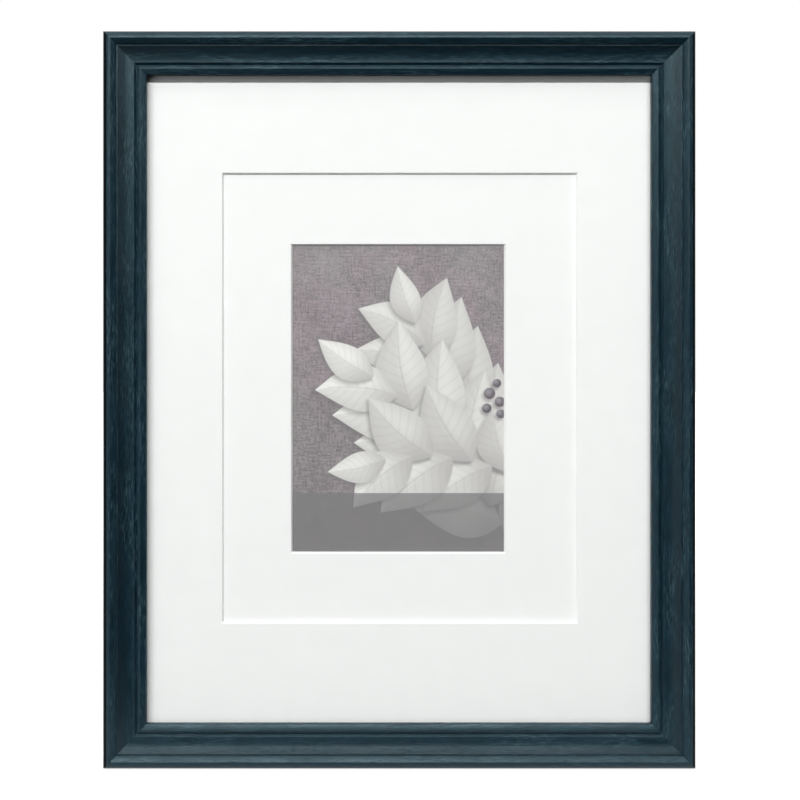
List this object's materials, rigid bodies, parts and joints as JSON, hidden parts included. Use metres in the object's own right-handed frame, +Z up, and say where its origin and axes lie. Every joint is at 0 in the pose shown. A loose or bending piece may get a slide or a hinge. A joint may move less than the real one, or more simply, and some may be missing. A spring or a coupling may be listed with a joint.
{
  "type": "matted picture frame",
  "caption": "Wall picture frame of mitred, scooped wooden moulding with glass, layered window mats, a small print, a backboard held by turn buttons, and sawtooth hangers for either orientation.",
  "frame": {"origin": "hanging point: in the wall plane, at the top of the middle notch of the hanger on the top rail", "axes": "+Z up, +Y towards the wall, so the picture faces -Y, and +X to the right as the picture is looked at"},
  "size_m": [0.312, 0.0231, 0.3882],
  "materials": {
    "moulding_paint": "dark blue-green satin paint over open wood grain",
    "clear_glass": "clear polished float glass",
    "mat_board": "smooth white paper face with a white core in the bevel",
    "print_paper": "matt printed paper",
    "paper_tape": "gummed paper tape",
    "filler_card": "plain brown card",
    "backing_board": "fibreboard faced with dark paper",
    "zinc_plate": "bright zinc-plated pressed steel",
    "fastener_steel": "plain steel",
    "bumper_rubber": "dark matt rubber"
  },
  "bodies": {
    "frame": {"rail_top": "moulding_paint", "rail_right": "moulding_paint", "rail_bottom": "moulding_paint", "rail_left": "moulding_paint", "v_nail_top_right_outer": "fastener_steel", "v_nail_top_right_inner": "fastener_steel", "v_nail_bottom_right_outer": "fastener_steel", "v_nail_bottom_right_inner": "fastener_steel", "v_nail_bottom_left_outer": "fastener_steel", "v_nail_bottom_left_inner": "fastener_steel", "v_nail_top_left_outer": "fastener_steel", "v_nail_top_left_inner": "fastener_steel", "glass": "clear_glass", "outer_mat": "mat_board", "inner_mat": "mat_board", "picture_print": "print_paper", "print_tape_left": "paper_tape", "print_tape_right": "paper_tape", "filler_board": "filler_card", "backboard": "backing_board", "turn_screw_top_left": "fastener_steel", "turn_screw_top_right": "fastener_steel", "turn_screw_right_upper": "fastener_steel", "turn_screw_right_lower": "fastener_steel", "turn_screw_bottom_right": "fastener_steel", "turn_screw_bottom_left": "fastener_steel", "turn_screw_left_lower": "fastener_steel", "turn_screw_left_upper": "fastener_steel", "hanger_top": "zinc_plate", "hanger_left": "zinc_plate", "hanger_top_nail_left": "fastener_steel", "hanger_top_nail_right": "fastener_steel", "hanger_left_nail_lower": "fastener_steel", "hanger_left_nail_upper": "fastener_steel", "bumper_top_left": "bumper_rubber", "bumper_top_right": "bumper_rubber", "bumper_bottom_right": "bumper_rubber", "bumper_bottom_left": "bumper_rubber"},
    "button_top_left": {"turn_button_top_left": "zinc_plate"},
    "button_top_right": {"turn_button_top_right": "zinc_plate"},
    "button_right_upper": {"turn_button_right_upper": "zinc_plate"},
    "button_right_lower": {"turn_button_right_lower": "zinc_plate"},
    "button_bottom_right": {"turn_button_bottom_right": "zinc_plate"},
    "button_bottom_left": {"turn_button_bottom_left": "zinc_plate"},
    "button_left_lower": {"turn_button_left_lower": "zinc_plate"},
    "button_left_upper": {"turn_button_left_upper": "zinc_plate"}
  },
  "joints": [
    {"name": "turn_top_left", "type": "hinge", "parent": "frame", "child": "button_top_left", "pos_m": [-0.078, -0.00285, 0.00295], "axis": [0, 1, 0], "continuous": true},
    {"name": "turn_top_right", "type": "hinge", "parent": "frame", "child": "button_top_right", "pos_m": [0.078, -0.00285, 0.00295], "axis": [0, 1, 0], "continuous": true},
    {"name": "turn_right_upper", "type": "hinge", "parent": "frame", "child": "button_right_upper", "pos_m": [0.14825, -0.00285, -0.0673], "axis": [0, 1, 0], "continuous": true},
    {"name": "turn_right_lower", "type": "hinge", "parent": "frame", "child": "button_right_lower", "pos_m": [0.14825, -0.00285, -0.2995], "axis": [0, 1, 0], "continuous": true},
    {"name": "turn_bottom_right", "type": "hinge", "parent": "frame", "child": "button_bottom_right", "pos_m": [0.078, -0.00285, -0.36975], "axis": [0, 1, 0], "continuous": true},
    {"name": "turn_bottom_left", "type": "hinge", "parent": "frame", "child": "button_bottom_left", "pos_m": [-0.078, -0.00285, -0.36975], "axis": [0, 1, 0], "continuous": true},
    {"name": "turn_left_lower", "type": "hinge", "parent": "frame", "child": "button_left_lower", "pos_m": [-0.14825, -0.00285, -0.2995], "axis": [0, 1, 0], "continuous": true},
    {"name": "turn_left_upper", "type": "hinge", "parent": "frame", "child": "button_left_upper", "pos_m": [-0.14825, -0.00285, -0.0673], "axis": [0, 1, 0], "continuous": true}
  ]
}
